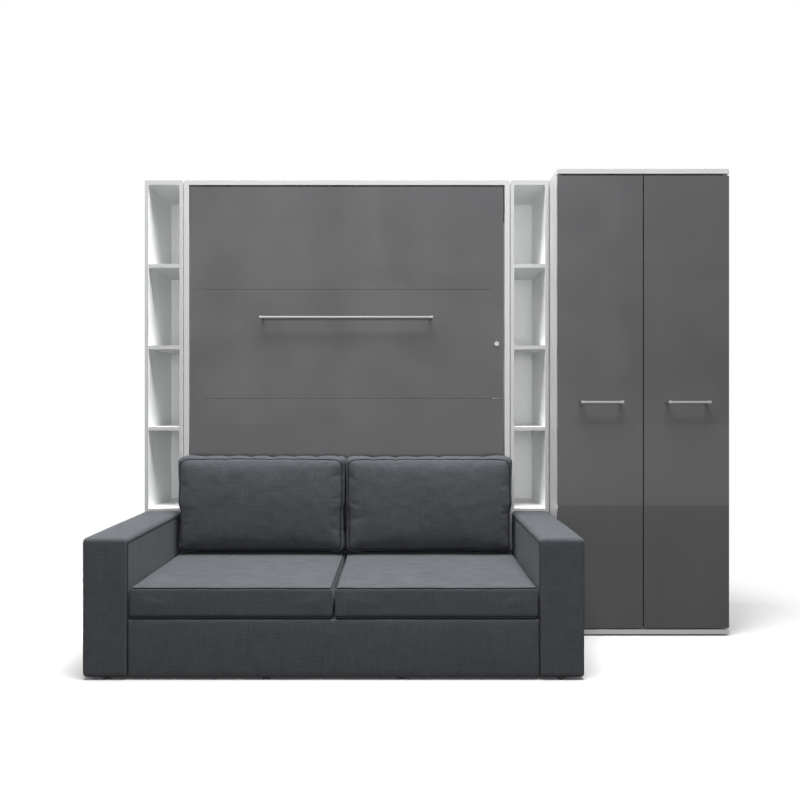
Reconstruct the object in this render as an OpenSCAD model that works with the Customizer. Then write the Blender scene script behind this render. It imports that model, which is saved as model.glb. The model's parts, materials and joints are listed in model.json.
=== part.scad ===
// Wall bed set: a vertical folding bed between two bookcases, a sofa in front and a wardrobe beside it.
// +X runs along the wall, +Y points at the wall, +Z is up. The origin is on the floor, under the middle.

/* [Row] */
// Height of every unit
unit_h = 2178; // [2140:1:2260]
// Gap between neighbouring units
unit_gap = 4; // [1:1:8]
// Depth of the bed cabinet and the bookcases
cab_d = 384; // [384:1:440]
// Thickness of the top boards
top_t = 22; // [18:1:30]
// Thickness of carcass boards
board_t = 18; // [16:1:22]

/* [Bed cabinet] */
// Width of the bed cabinet
cab_w = 1600; // [1600:10:1640]
// Thickness of the cabinet uprights
upright_t = 25; // [22:1:28]
// Gap between the bed front and each upright
front_side_gap = 6; // [4:1:8]
// Gap between the bed front and the top board
front_top_gap = 9; // [9:1:14]
// Height of the rear rails
rear_rail_h = 100; // [80:5:120]
// Radius of the wall screw holes
screw_r = 4; // [3:0.5:5]
// Distance between the two wall screws of a rear rail
screw_spacing = 1200; // [800:50:1400]

/* [Bed] */
// Height of the fold pivot above the floor
pivot_z = 430; // [425:1:440]
// Distance of the fold pivot behind the bed front
pivot_inset = 27; // [25:1:30]
// Width of the mattress
mattress_w = 1400; // [1380:10:1400]
// Length of the mattress
mattress_l = 2000; // [1960:10:2000]
// Thickness of the mattress
mattress_t = 160; // [120:5:160]
// Height of the mattress's lower end when the bed is folded away
mattress_z = 130; // [128:1:132]
// Thickness of the front panels
panel_t = 18; // [16:1:18]
// Height of the highest front seam
first_seam_z = 1643.5; // [1600:0.5:1700]
// Distance from one front seam to the next
seam_pitch = 535; // [500:5:540]
// Width of a front seam
seam_w = 1.2; // [0.8:0.2:3]
// Thickness of the frame rails
rail_t = 15; // [12:1:15]
// Depth of the frame rails
rail_d = 90; // [60:5:100]
// Number of slats
slat_count = 14; // [10:1:18]
// Width of a slat
slat_w = 64; // [50:2:70]
// Thickness of a slat
slat_t = 12; // [8:1:14]

/* [Mechanism] */
// Radius of the fold pins
pin_r = 6; // [5:0.5:7]
// Running clearance between a pin and its bore
fit = 0.06; // [0.03:0.01:0.09]
// Height of the strut anchor above the pivot
anchor_dz = 480; // [440:10:520]
// Distance of the strut anchor behind the pivot
anchor_dy = 130; // [110:10:160]
// Depth of the bed stud below the pivot
stud_dz = 220; // [200:5:240]
// Distance of the bed stud behind the pivot
stud_dy = 40; // [36:1:44]
// Radius of the strut cylinder
strut_r = 11; // [9:1:12]
// Radius of the strut rod
rod_r = 5; // [4:0.5:6]
// Width of the flat foot legs
leg_w = 36; // [30:1:40]
// Thickness of the flat foot legs
leg_t = 6; // [5:0.5:6]

/* [Handles and lock] */
// Length of the bed handle
bed_handle_l = 842; // [600:10:1000]
// Height of the bed handle
bed_handle_z = 1502; // [1400:10:1560]
// Diameter of the handle bars
handle_bar_d = 14; // [10:0.5:16]
// Distance of the bed handle's axis from the bed front
bed_handle_off = 40; // [34:1:50]
// Length of a door handle
door_handle_l = 197; // [160:1:260]
// Height of the door handles
door_handle_z = 1090; // [1000:10:1200]
// Distance of a door handle's axis from the door
door_handle_off = 35; // [30:1:40]
// Height of the lock
lock_z = 1376; // [1300:1:1440]
// Distance of the lock from the edge of the bed front
lock_inset = 33.5; // [30:0.5:36]

/* [Bookcases] */
// Width of a bookcase
book_w = 188; // [160:1:260]
// Height of the lowest shelf's middle
shelf_z = 159; // [140:1:180]
// Distance from one shelf to the next
shelf_pitch = 400; // [380:5:420]
// Number of shelves
shelf_count = 5; // [5:1:5]

/* [Wardrobe] */
// Width of the wardrobe
ward_w = 800; // [760:10:1000]
// Depth of the wardrobe with its doors
ward_d = 564; // [540:1:600]
// Thickness of a wardrobe door
door_t = 18; // [16:1:18]
// Gap between the two doors
door_seam = 5; // [3:0.5:6]
// Gap between a door and the boards above and below it
door_end_gap = 9; // [6:1:12]
// Height of the wardrobe glides
glide_h = 8; // [6:1:12]
// Height of the wardrobe's inside shelf
ward_shelf_z = 1850; // [1800:10:1900]

/* [Sofa] */
// Depth of the sofa
sofa_d = 724; // [700:1:800]
// Width of a sofa arm
arm_w = 178; // [150:1:178]
// Height of the sofa arms
arm_h = 556; // [520:1:580]
// Distance between the sofa arms
seat_span = 1618; // [1600:2:1618]
// Height of the seat cushions' underside
seat_z = 240; // [220:1:250]
// Height of the seat cushions' top
seat_top = 372; // [360:1:376]
// Width of a back cushion
back_w = 788; // [760:1:796]
// Height of a back cushion's top
back_top = 826; // [780:1:860]
// Thickness of a back cushion at its bottom
back_t_low = 163; // [150:1:175]
// Thickness of a back cushion at its top
back_t_high = 139; // [120:1:150]

/* [Hidden] */
$fn = 64;
sides = [-1, 1];
cut = 1;
touch = 0.1;

// Places along the wall
row_w = 2 * book_w + cab_w + ward_w + 3 * unit_gap;
book_left_x = -row_w / 2;
cab_x = book_left_x + book_w + unit_gap;
book_right_x = cab_x + cab_w + unit_gap;
ward_x = book_right_x + book_w + unit_gap;
ward_end_x = ward_x + ward_w;
bed_x = cab_x + cab_w / 2;

// Places across the depth
y_sofa = -(cab_d + sofa_d) / 2;
y_front = y_sofa + sofa_d;
y_wall = y_front + cab_d;
y_door = y_wall - ward_d;

// Heights
top_z = unit_h - top_t;
front_top_z = top_z - front_top_gap;

// Bed cabinet
inner_half = cab_w / 2 - upright_t;
rear_rail_t = 18;
lower_rail_z = 60;
kick_h = 108;
pin_bore_r = 9;
pin_bore_depth = 14;

// Bed
front_half = inner_half - front_side_gap;
y_pivot = y_front + pivot_inset;
y_panel_back = y_front + panel_t;
slat_gap = 20;
y_mattress = y_panel_back + slat_gap + slat_t;
rest_gap = 2;
rail_in = mattress_w / 2 + rest_gap;
rail_out = rail_in + rail_t;
bed_low_z = mattress_z - rest_gap - rail_t;
foot_rail_z = mattress_z + mattress_l + rest_gap;
slat_pitch = (mattress_l - slat_w) / (slat_count - 1);
strap_w = 40;
strap_t = 2;
strap_heights = [760, 1560];

// Mechanism
plate_t = 6;
fixed_plate_t = 5;
plate_d = 60;
plate_h = 90;
stud_r = 4;
stud_foot_r = 16;
stud_foot_t = 4;
eye_r = 10;
eye_w = 16;
strut_x = inner_half - 27;
strut_open = norm([anchor_dy - stud_dy, anchor_dz + stud_dz]);
strut_tilt = atan2(anchor_dy - stud_dy, anchor_dz + stud_dz);
cylinder_end = 400;
rod_start = 360;
bore_start = 60;
leg_x = rail_in - 14;
leg_y = y_panel_back + 4 + leg_w / 2;
leg_lift = 1;
leg_z = foot_rail_z + rail_t + leg_lift;
leg_l = pivot_z + leg_y - y_pivot - 1;
leg_bolt_r = 4;
leg_bolt_l = 12;
leg_washer_r = 10;
stop_size = [24, 11, 60];
stop_z = 1980;

// Lock
lock_x = bed_x + front_half - lock_inset;
lock_rim_r = 11.5;
lock_rim_t = 3;
lock_tube_r = 9.5;
lock_bore_r = 9.6;
barrel_r = 6;
key_slot = [1.6, 7, 2];
lock_rear = 8;
cam_l = 30;
cam_w = 12;
cam_t = 2.5;
cam_y = y_panel_back + lock_rear;
strike_size = [21, 4, 20];
strike_y = y_panel_back + 2;

// Bookcases
book_back_y = y_wall - 20;
book_back_t = 8;
book_floor_z = 2;
shelf_set = 2;

// Wardrobe
door_gap = 2;
ward_front_y = y_door + door_t + door_gap;
ward_bottom_z = glide_h + 20;
door_low_z = ward_bottom_z + door_end_gap;
door_high_z = top_z - door_end_gap;
door_w = (ward_w - door_seam) / 2;
ward_back_t = 8;
ward_shelf_set = 20;
hang_r = 12.5;
hang_bore_r = 11;
hang_z = 1790;
hang_y = (ward_front_y + y_wall) / 2;
hang_flange = [18, 6];
glide_r = 16;
glide_inset = 40;
hinge_heights = [130, 760, 1420, 2050];
cup_r = 17.5;
cup_depth = 12;
cup_inset = 22;
cup_flange_r = 20;
cup_flange_t = 1.2;
cup_fit = 0.2;
arm_bar = [12, 76, 16];
arm_plate = [3, 50, 56];
arm_set = 4;

// Handles
handle_cap_r = 9;
handle_cap_l = 16;
bed_post_r = 5;
bed_post_inset = 12;
door_post_r = 8;
door_post_inset = 8;

// Sofa
sofa_gap = 2;
sofa_low_z = 10;
apron_set = 4;
apron_t = 30;
deck_t = 24;
back_board_t = 18;
cushion_gap = 3;
seat_back_y = y_front - sofa_gap - back_board_t - sofa_gap;
back_low_z = seat_top + 1;
sofa_glide_r = 20;
sofa_glide_inset = 60;

white = [0.86, 0.87, 0.87];
gloss_grey = [0.42, 0.42, 0.43];
chrome = [0.76, 0.77, 0.78];
steel = [0.55, 0.56, 0.58];
fabric = [0.25, 0.27, 0.29];
dark = [0.08, 0.08, 0.09];
birch = [0.82, 0.72, 0.55];
ticking = [0.93, 0.93, 0.91];

// ---------- shared shapes ----------

// A board between two opposite corners
module board(low, high) {
  translate(low)
    cube(high - low);
}

// A rod along X between two places, with its middle at y and z
module rod_x(x_from, x_to, y, z, r) {
  translate([min(x_from, x_to), y, z])
    rotate([0, 90, 0])
      cylinder(r = r, h = abs(x_to - x_from));
}

// A rod along Y between two places, with its middle at x and z
module rod_y(y_from, y_to, x, z, r) {
  translate([x, y_from, z])
    rotate([-90, 0, 0])
      cylinder(r = r, h = y_to - y_from);
}

// A bar handle with a cap on each end, on two posts that end on the face at y_face
module bar_handle(x, z, y_face, length, off, post_r, post_inset) {
  y_bar = y_face - off;
  cap_x = (length - handle_cap_l) / 2;
  rod_x(x - length / 2, x + length / 2, y_bar, z, handle_bar_d / 2);
  for (side = sides) {
    rod_x(x + side * cap_x - handle_cap_l / 2, x + side * cap_x + handle_cap_l / 2, y_bar, z, handle_cap_r);
    rod_y(y_bar, y_face, x + side * (length / 2 - post_inset), z, post_r);
  }
}

// Moves a strut's local frame, which hangs along -Z, to its anchor
module at_anchor(side) {
  translate([bed_x + side * strut_x, y_pivot + anchor_dy, pivot_z + anchor_dz])
    rotate([-strut_tilt, 0, 0])
      children();
}

// ---------- bed cabinet ----------

module bed_side(side) {
  inner_x = bed_x + side * inner_half;
  outer_x = bed_x + side * cab_w / 2;
  color(white)
    difference() {
      board([min(inner_x, outer_x), y_front, 0], [max(inner_x, outer_x), y_wall, top_z]);
      rod_x(inner_x - side * cut, inner_x + side * pin_bore_depth, y_pivot, pivot_z, pin_bore_r);
    }
}

module bed_top_panel() {
  color(white)
    board([cab_x, y_front, top_z], [cab_x + cab_w, y_wall, unit_h]);
}

module bed_floor_board() {
  color(white)
    board([bed_x - inner_half, y_panel_back, 0], [bed_x + inner_half, y_wall, board_t]);
}

module kick_panel() {
  color(gloss_grey)
    board([bed_x - inner_half, y_front, 0], [bed_x + inner_half, y_panel_back, kick_h]);
}

module rear_rails() {
  color(white)
    for (low_z = [lower_rail_z, top_z - rear_rail_h])
      difference() {
        board(
          [bed_x - inner_half, y_wall - rear_rail_t, low_z],
          [bed_x + inner_half, y_wall, low_z + rear_rail_h]
        );
        for (side = sides)
          rod_y(y_wall - rear_rail_t - cut, y_wall + cut, bed_x + side * screw_spacing / 2,
            low_z + rear_rail_h / 2, screw_r);
      }
}

module pivot_plates() {
  color(steel)
    for (side = sides) {
      face_x = bed_x + side * inner_half;
      back_x = face_x - side * fixed_plate_t;
      difference() {
        board(
          [min(face_x, back_x), y_pivot - plate_d / 3, pivot_z - plate_h / 2],
          [max(face_x, back_x), y_pivot + plate_d, pivot_z + plate_h / 2]
        );
        rod_x(face_x + side * cut, back_x - side * cut, y_pivot, pivot_z, pin_r + fit);
      }
    }
}

module strut_anchors() {
  color(steel)
    for (side = sides) {
      face_x = bed_x + side * inner_half;
      y = y_pivot + anchor_dy;
      z = pivot_z + anchor_dz;
      rod_x(face_x, face_x - side * stud_foot_t, y, z, stud_foot_r);
      rod_x(face_x, bed_x + side * (strut_x - eye_w / 2 - cut), y, z, stud_r);
    }
}

module lock_strike() {
  face_x = bed_x + inner_half;
  color(steel)
    board(
      [face_x - strike_size[0], strike_y, lock_z - strike_size[2] / 2],
      [face_x, strike_y + strike_size[1], lock_z + strike_size[2] / 2]
    );
}

module rest_stops() {
  color(dark)
    for (side = sides)
      translate([bed_x + side * (inner_half - stop_size[0] / 2) - stop_size[0] / 2,
        y_panel_back + touch, stop_z])
        cube(stop_size);
}

// ---------- bookcases ----------

module bookcase_sides(x) {
  color(white)
    for (low_x = [x, x + book_w - board_t])
      board([low_x, y_front, 0], [low_x + board_t, y_wall, top_z]);
}

module bookcase_top(x) {
  color(white)
    board([x, y_front, top_z], [x + book_w, y_wall, unit_h]);
}

module bookcase_shelves(x) {
  heights = [for (i = [0 : shelf_count - 1]) shelf_z - board_t / 2 + i * shelf_pitch];
  color(white)
    for (low_z = concat([book_floor_z], heights))
      board(
        [x + board_t, y_front + shelf_set, low_z],
        [x + book_w - board_t, book_back_y, low_z + board_t]
      );
}

module bookcase_back(x) {
  color(white)
    board([x + board_t, book_back_y, 0], [x + book_w - board_t, book_back_y + book_back_t, top_z]);
}

// ---------- wardrobe ----------

module wardrobe_sides() {
  color(white)
    for (low_x = [ward_x, ward_end_x - board_t])
      board([low_x, ward_front_y, ward_bottom_z], [low_x + board_t, y_wall, top_z]);
}

module wardrobe_top() {
  color(white)
    board([ward_x, y_door, top_z], [ward_end_x, y_wall, unit_h]);
}

module wardrobe_bottom() {
  color(white)
    board([ward_x, y_door, glide_h], [ward_end_x, y_wall, ward_bottom_z]);
}

module wardrobe_back() {
  color(white)
    board([ward_x + board_t, y_wall - ward_back_t, ward_bottom_z], [ward_end_x - board_t, y_wall, top_z]);
}

module wardrobe_shelf() {
  color(white)
    board(
      [ward_x + board_t, ward_front_y + ward_shelf_set, ward_shelf_z],
      [ward_end_x - board_t, y_wall - ward_back_t, ward_shelf_z + board_t]
    );
}

module hanging_rail() {
  from_x = ward_x + board_t;
  to_x = ward_end_x - board_t;
  color(chrome)
    difference() {
      union() {
        rod_x(from_x, to_x, hang_y, hang_z, hang_r);
        rod_x(from_x, from_x + hang_flange[1], hang_y, hang_z, hang_flange[0]);
        rod_x(to_x - hang_flange[1], to_x, hang_y, hang_z, hang_flange[0]);
      }
      rod_x(from_x - cut, to_x + cut, hang_y, hang_z, hang_bore_r);
    }
}

module wardrobe_glides() {
  color(dark)
    for (x = [ward_x + glide_inset, ward_end_x - glide_inset])
      for (y = [y_door + glide_inset, y_wall - glide_inset])
        translate([x, y, 0])
          cylinder(r = glide_r, h = glide_h);
}

module hinge_arms() {
  color(chrome)
    for (side = sides) {
      face_x = (side < 0) ? ward_x + board_t : ward_end_x - board_t;
      for (z = hinge_heights) {
        bar_x = face_x - side * arm_bar[0];
        plate_x = face_x - side * arm_plate[0];
        y = ward_front_y + arm_set;
        board(
          [min(face_x, bar_x), y, z - arm_bar[2] / 2],
          [max(face_x, bar_x), y + arm_bar[1], z + arm_bar[2] / 2]
        );
        board(
          [min(face_x, plate_x), y + arm_bar[1] - arm_plate[1], z - arm_plate[2] / 2],
          [max(face_x, plate_x), y + arm_bar[1], z + arm_plate[2] / 2]
        );
      }
    }
}

module wardrobe_door(side) {
  low_x = (side < 0) ? ward_x : ward_end_x - door_w;
  hinge_x = (side < 0) ? ward_x + cup_inset : ward_end_x - cup_inset;
  color(gloss_grey)
    difference() {
      board([low_x, y_door, door_low_z], [low_x + door_w, y_door + door_t, door_high_z]);
      for (z = hinge_heights)
        rod_y(y_door + door_t - cup_depth - cup_fit, y_door + door_t + cut, hinge_x, z, cup_r + cup_fit);
    }
}

module hinge_cups(side) {
  hinge_x = (side < 0) ? ward_x + cup_inset : ward_end_x - cup_inset;
  color(chrome)
    for (z = hinge_heights) {
      rod_y(y_door + door_t - cup_depth, y_door + door_t, hinge_x, z, cup_r);
      rod_y(y_door + door_t, y_door + door_t + cup_flange_t, hinge_x, z, cup_flange_r);
    }
}

module door_handle(side) {
  door_x = (side < 0) ? ward_x + door_w / 2 : ward_end_x - door_w / 2;
  color(chrome)
    bar_handle(door_x, door_handle_z, y_door, door_handle_l, door_handle_off, door_post_r, door_post_inset);
}

// ---------- sofa ----------

module sofa_arm(side) {
  inner_x = bed_x + side * seat_span / 2;
  outer_x = inner_x + side * arm_w;
  color(fabric)
    board([min(inner_x, outer_x), y_sofa, sofa_low_z], [max(inner_x, outer_x), y_front - sofa_gap, arm_h]);
}

module sofa_front_apron() {
  color(fabric)
    board(
      [bed_x - seat_span / 2, y_sofa + apron_set, sofa_low_z],
      [bed_x + seat_span / 2, y_sofa + apron_set + apron_t, seat_z - sofa_gap]
    );
}

module sofa_deck() {
  color(dark)
    board(
      [bed_x - seat_span / 2, y_sofa + apron_set + apron_t, seat_z - sofa_gap - deck_t],
      [bed_x + seat_span / 2, seat_back_y, seat_z - sofa_gap]
    );
}

module sofa_back_board() {
  color(fabric)
    board(
      [bed_x - seat_span / 2, seat_back_y, sofa_low_z],
      [bed_x + seat_span / 2, y_front - sofa_gap, seat_top - sofa_gap]
    );
}

module seat_cushion(side) {
  mid_x = bed_x + side * cushion_gap / 2;
  end_x = bed_x + side * (seat_span / 2 - sofa_gap);
  color(fabric)
    board(
      [min(mid_x, end_x), y_sofa + sofa_gap, seat_z],
      [max(mid_x, end_x), seat_back_y - sofa_gap, seat_top]
    );
}

module back_cushion(side) {
  y_back = y_front - sofa_gap;
  low_x = (side < 0) ? bed_x - cushion_gap - back_w : bed_x + cushion_gap;
  color(fabric)
    translate([low_x, 0, 0])
      rotate([90, 0, 90])
        linear_extrude(back_w)
          polygon([
            [y_back, back_low_z], [y_back, back_top],
            [y_back - back_t_high, back_top], [y_back - back_t_low, back_low_z]
          ]);
}

module sofa_glides() {
  half = seat_span / 2 + arm_w / 2;
  color(dark)
    for (x = [-half, -seat_span / 6, seat_span / 6, half])
      for (y = [y_sofa + apron_set + sofa_glide_inset / 3, y_front - sofa_glide_inset / 2])
        translate([bed_x + x, y, 0])
          cylinder(r = sofa_glide_r - apron_set, h = sofa_low_z);
}

// ---------- bed ----------

// The four panels share one outline, cut by three seams; the lock tube passes through
module front_panels() {
  seams = [for (i = [0 : 2]) first_seam_z - i * seam_pitch];
  color(gloss_grey)
    difference() {
      board([bed_x - front_half, y_front, bed_low_z], [bed_x + front_half, y_panel_back, front_top_z]);
      for (z = seams)
        board(
          [bed_x - front_half - cut, y_front - cut, z - seam_w / 2],
          [bed_x + front_half + cut, y_panel_back + cut, z + seam_w / 2]
        );
      rod_y(y_front - cut, y_panel_back + cut, lock_x, lock_z, lock_bore_r);
    }
}

module bed_rail(side) {
  x_in = bed_x + side * rail_in;
  x_out = bed_x + side * rail_out;
  color(birch)
    board(
      [min(x_in, x_out), y_panel_back, bed_low_z],
      [max(x_in, x_out), y_panel_back + rail_d, foot_rail_z + rail_t]
    );
}

module head_rail() {
  color(birch)
    board(
      [bed_x - rail_in, y_panel_back, bed_low_z],
      [bed_x + rail_in, y_panel_back + rail_d, bed_low_z + rail_t]
    );
}

module foot_rail() {
  color(birch)
    difference() {
      board(
        [bed_x - rail_in, y_panel_back, foot_rail_z],
        [bed_x + rail_in, y_panel_back + rail_d, foot_rail_z + rail_t]
      );
      for (side = sides)
        translate([bed_x + side * leg_x, leg_y, foot_rail_z - cut])
          cylinder(r = leg_bolt_r + fit, h = rail_t + 2 * cut);
    }
}

module slats() {
  color(birch)
    for (i = [0 : slat_count - 1])
      board(
        [bed_x - rail_in, y_mattress - slat_t, mattress_z + i * slat_pitch],
        [bed_x + rail_in, y_mattress, mattress_z + i * slat_pitch + slat_w]
      );
}

module mattress() {
  color(ticking)
    board(
      [bed_x - mattress_w / 2, y_mattress, mattress_z],
      [bed_x + mattress_w / 2, y_mattress + mattress_t, mattress_z + mattress_l]
    );
}

module mattress_straps() {
  y = y_mattress + mattress_t;
  color(dark)
    for (z = strap_heights)
      board([bed_x - mattress_w / 2, y, z], [bed_x + mattress_w / 2, y + strap_t, z + strap_w]);
}

module bed_handle() {
  color(chrome)
    bar_handle(bed_x, bed_handle_z, y_front, bed_handle_l, bed_handle_off, bed_post_r, bed_post_inset);
}

// Bed-side plates with the fold pins, and the studs that the struts push on
module pivot_pins() {
  color(steel)
    for (side = sides) {
      x_rail = bed_x + side * rail_out;
      x_plate = x_rail + side * plate_t;
      x_pin = bed_x + side * (inner_half + pin_bore_depth - leg_bolt_r);
      y_stud = y_pivot + stud_dy;
      z_stud = pivot_z - stud_dz;
      board(
        [min(x_rail, x_plate), y_panel_back, pivot_z - plate_h / 2],
        [max(x_rail, x_plate), y_panel_back + plate_d, pivot_z + plate_h / 2]
      );
      rod_x(x_rail, x_pin, y_pivot, pivot_z, pin_r);
      rod_x(x_rail, x_rail + side * stud_foot_t, y_stud, z_stud, stud_foot_r);
      rod_x(x_rail, bed_x + side * (strut_x - eye_w / 2 - cut), y_stud, z_stud, stud_r);
    }
}

// ---------- lock ----------

module lock_housing() {
  color(chrome)
    difference() {
      union() {
        rod_y(y_front - lock_rim_t, y_front, lock_x, lock_z, lock_rim_r);
        rod_y(y_front - lock_rim_t, y_panel_back + lock_rim_t, lock_x, lock_z, lock_tube_r);
      }
      rod_y(y_front - lock_rim_t - cut, y_panel_back + lock_rim_t + cut, lock_x, lock_z, barrel_r + fit);
    }
}

module lock_barrel() {
  color(chrome)
    difference() {
      union() {
        rod_y(y_front - lock_rim_t, cam_y + cam_t, lock_x, lock_z, barrel_r);
        board([lock_x - cam_w / 2, cam_y, lock_z - cam_l], [lock_x + cam_w / 2, cam_y + cam_t, lock_z]);
        rod_y(cam_y, cam_y + cam_t, lock_x, lock_z, cam_w / 2);
      }
      translate([lock_x - key_slot[0] / 2, y_front - lock_rim_t - cut, lock_z - key_slot[1] / 2])
        cube([key_slot[0], key_slot[2] + cut, key_slot[1]]);
    }
}

// ---------- foot legs ----------

module foot_leg(side) {
  color(steel)
    translate([bed_x + side * leg_x, leg_y, leg_z])
      rotate([0, 0, (side < 0) ? 0 : 180]) {
        cylinder(r = leg_w / 2, h = leg_t);
        translate([0, -leg_w / 2, 0])
          cube([leg_l, leg_w, leg_t]);
        translate([0, 0, touch - leg_lift])
          cylinder(r = leg_washer_r, h = leg_lift);
        translate([0, 0, -leg_bolt_l])
          cylinder(r = leg_bolt_r, h = leg_bolt_l);
      }
}

// ---------- gas struts ----------

module strut_cylinder(side) {
  color(dark)
    at_anchor(side)
      difference() {
        union() {
          translate([-eye_w / 2, 0, 0])
            rotate([0, 90, 0])
              cylinder(r = eye_r, h = eye_w);
          translate([0, 0, -cylinder_end])
            cylinder(r = strut_r, h = cylinder_end - eye_r + 1);
        }
        translate([-eye_w / 2 - cut, 0, 0])
          rotate([0, 90, 0])
            cylinder(r = stud_r + fit, h = eye_w + 2 * cut);
        translate([0, 0, -cylinder_end - cut])
          cylinder(r = rod_r + fit, h = cylinder_end - bore_start);
      }
}

module strut_rod(side) {
  color(chrome)
    at_anchor(side)
      union() {
        translate([0, 0, -strut_open])
          cylinder(r = rod_r, h = strut_open - rod_start);
        translate([-eye_w / 2, 0, -strut_open])
          rotate([0, 90, 0])
            cylinder(r = eye_r, h = eye_w);
      }
}

bed_side(-1);  // bed_side_left
bed_side(1);  // bed_side_right
bed_top_panel();
bed_floor_board();
kick_panel();
rear_rails();
pivot_plates();
strut_anchors();
lock_strike();
rest_stops();
bookcase_sides(book_left_x);  // left_bookcase_sides
bookcase_top(book_left_x);  // left_bookcase_top
bookcase_shelves(book_left_x);  // left_bookcase_shelves
bookcase_back(book_left_x);  // left_bookcase_back
bookcase_sides(book_right_x);  // right_bookcase_sides
bookcase_top(book_right_x);  // right_bookcase_top
bookcase_shelves(book_right_x);  // right_bookcase_shelves
bookcase_back(book_right_x);  // right_bookcase_back
wardrobe_sides();
wardrobe_top();
wardrobe_bottom();
wardrobe_back();
wardrobe_shelf();
hanging_rail();
wardrobe_glides();
hinge_arms();
sofa_arm(-1);  // sofa_arm_left
sofa_arm(1);  // sofa_arm_right
sofa_front_apron();
sofa_deck();
sofa_back_board();
seat_cushion(-1);  // seat_cushion_left
seat_cushion(1);  // seat_cushion_right
back_cushion(-1);  // back_cushion_left
back_cushion(1);  // back_cushion_right
sofa_glides();
front_panels();
bed_rail(-1);  // bed_rail_left
bed_rail(1);  // bed_rail_right
head_rail();
foot_rail();
slats();
mattress();
mattress_straps();
bed_handle();
pivot_pins();
lock_housing();
lock_barrel();
foot_leg(-1);  // foot_leg_left
foot_leg(1);  // foot_leg_right
strut_cylinder(-1);  // strut_cylinder_left
strut_cylinder(1);  // strut_cylinder_right
strut_rod(-1);  // strut_rod_left
strut_rod(1);  // strut_rod_right
wardrobe_door(-1);  // wardrobe_door_left
wardrobe_door(1);  // wardrobe_door_right
door_handle(-1);  // door_handle_left
door_handle(1);  // door_handle_right
hinge_cups(-1);  // hinge_cups_left
hinge_cups(1);  // hinge_cups_right
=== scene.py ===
"""Looks of the wall bed set: laminate boards, lacquered fronts, metal fittings and an upholstered sofa."""

import json
import math

import bpy
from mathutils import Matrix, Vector, noise
from mathutils.bvhtree import BVHTree
from mathutils.kdtree import KDTree


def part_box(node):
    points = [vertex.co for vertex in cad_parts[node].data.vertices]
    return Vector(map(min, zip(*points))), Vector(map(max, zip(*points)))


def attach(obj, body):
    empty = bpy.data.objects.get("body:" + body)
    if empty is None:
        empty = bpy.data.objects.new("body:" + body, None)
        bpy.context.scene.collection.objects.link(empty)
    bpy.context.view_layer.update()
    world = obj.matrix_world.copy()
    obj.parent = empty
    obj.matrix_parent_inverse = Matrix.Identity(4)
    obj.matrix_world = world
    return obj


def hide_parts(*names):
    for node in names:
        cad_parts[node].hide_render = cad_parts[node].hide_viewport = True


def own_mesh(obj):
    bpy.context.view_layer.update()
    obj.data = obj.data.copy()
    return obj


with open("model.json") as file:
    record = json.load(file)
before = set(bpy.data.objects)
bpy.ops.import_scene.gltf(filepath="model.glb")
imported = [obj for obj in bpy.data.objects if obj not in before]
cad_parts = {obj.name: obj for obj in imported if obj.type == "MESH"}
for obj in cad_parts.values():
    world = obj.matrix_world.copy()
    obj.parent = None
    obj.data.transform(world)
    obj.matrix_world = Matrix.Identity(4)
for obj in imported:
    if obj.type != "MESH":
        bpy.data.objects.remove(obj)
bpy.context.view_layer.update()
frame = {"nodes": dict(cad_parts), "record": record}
nodes = frame["nodes"]
MM = 0.001
RAMP_SOCKETS = ("From Min", "From Max", "To Min", "To Max")

# ---------------------------------------------------------------- camera and light

CAMERA_PLACE = (-0.141, -3.43, 1.10)
CAMERA_LENS = 33.0
CAMERA_REACH = 60.0
SENSOR = 36.0

# Each light: its name, place, target, size and power in watts.
LIGHTS = (
    ("key", (-0.9, -3.0, 4.6), (-0.2, 0.1, 1.1), (1.6, 1.2), 10.0),
    ("front", (0.2, -5.2, 1.4), (0.0, 0.0, 1.2), (3.0, 2.2), 126.0),
    ("top", (-0.1, -0.9, 6.5), (-0.1, -0.9, 0.0), (4.0, 3.2), 1780.0),
    ("back", (0.0, 5.0, 1.8), (0.0, 0.6, 1.1), (4.0, 2.5), 160.0),
    ("side_left", (-5.2, 1.2, 1.8), (-1.2, 0.3, 1.1), (2.4, 2.4), 150.0),
    ("side_right", (5.2, 1.2, 1.8), (1.2, 0.3, 1.1), (2.4, 2.4), 150.0),
)
FILL_LIGHT = 0.21

# What reflections see of the room. A ramp is two input values and the two output values they turn into.
ROOM_FADE = (0.0, 0.5, 0.95, 0.40)
ROOM_PATCHES = (0.35, 0.65, 0.72, 1.24)
ROOM_SHAPES = {"Scale": 9.0, "Detail": 6.0, "Distortion": 1.6}

FLOOR_SIZE = 30.0
FLOOR_PALE = (0.33, 0.35)
FLOOR_BOUNCE = 0.05
FLOOR_FADE = (1.9, 3.0)
FLOOR_EDGE = -4.27
# How bright the floor glows in reflections beyond its far edge and near it: a painted reflection, not lit
# floor.
FLOOR_MIRRORED_FAR, FLOOR_MIRRORED_NEAR = 0.85, 0.28


def make_camera():
    data = bpy.data.cameras.new("camera")
    data.lens = CAMERA_LENS
    data.sensor_width = SENSOR
    data.clip_end = CAMERA_REACH
    camera = bpy.data.objects.new("camera", data)
    camera.location = CAMERA_PLACE
    camera.rotation_euler = (math.radians(90), 0, 0)
    bpy.context.scene.collection.objects.link(camera)
    bpy.context.scene.camera = camera


def area_light(name, place, target, size, power):
    data = bpy.data.lights.new(name, "AREA")
    data.shape = "RECTANGLE"
    data.size, data.size_y = size
    data.energy = power
    light = bpy.data.objects.new(name, data)
    light.location = place
    light.rotation_euler = (Vector(target) - Vector(place)).to_track_quat("-Z", "Y").to_euler()
    light.visible_glossy = False
    bpy.context.scene.collection.objects.link(light)


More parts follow.
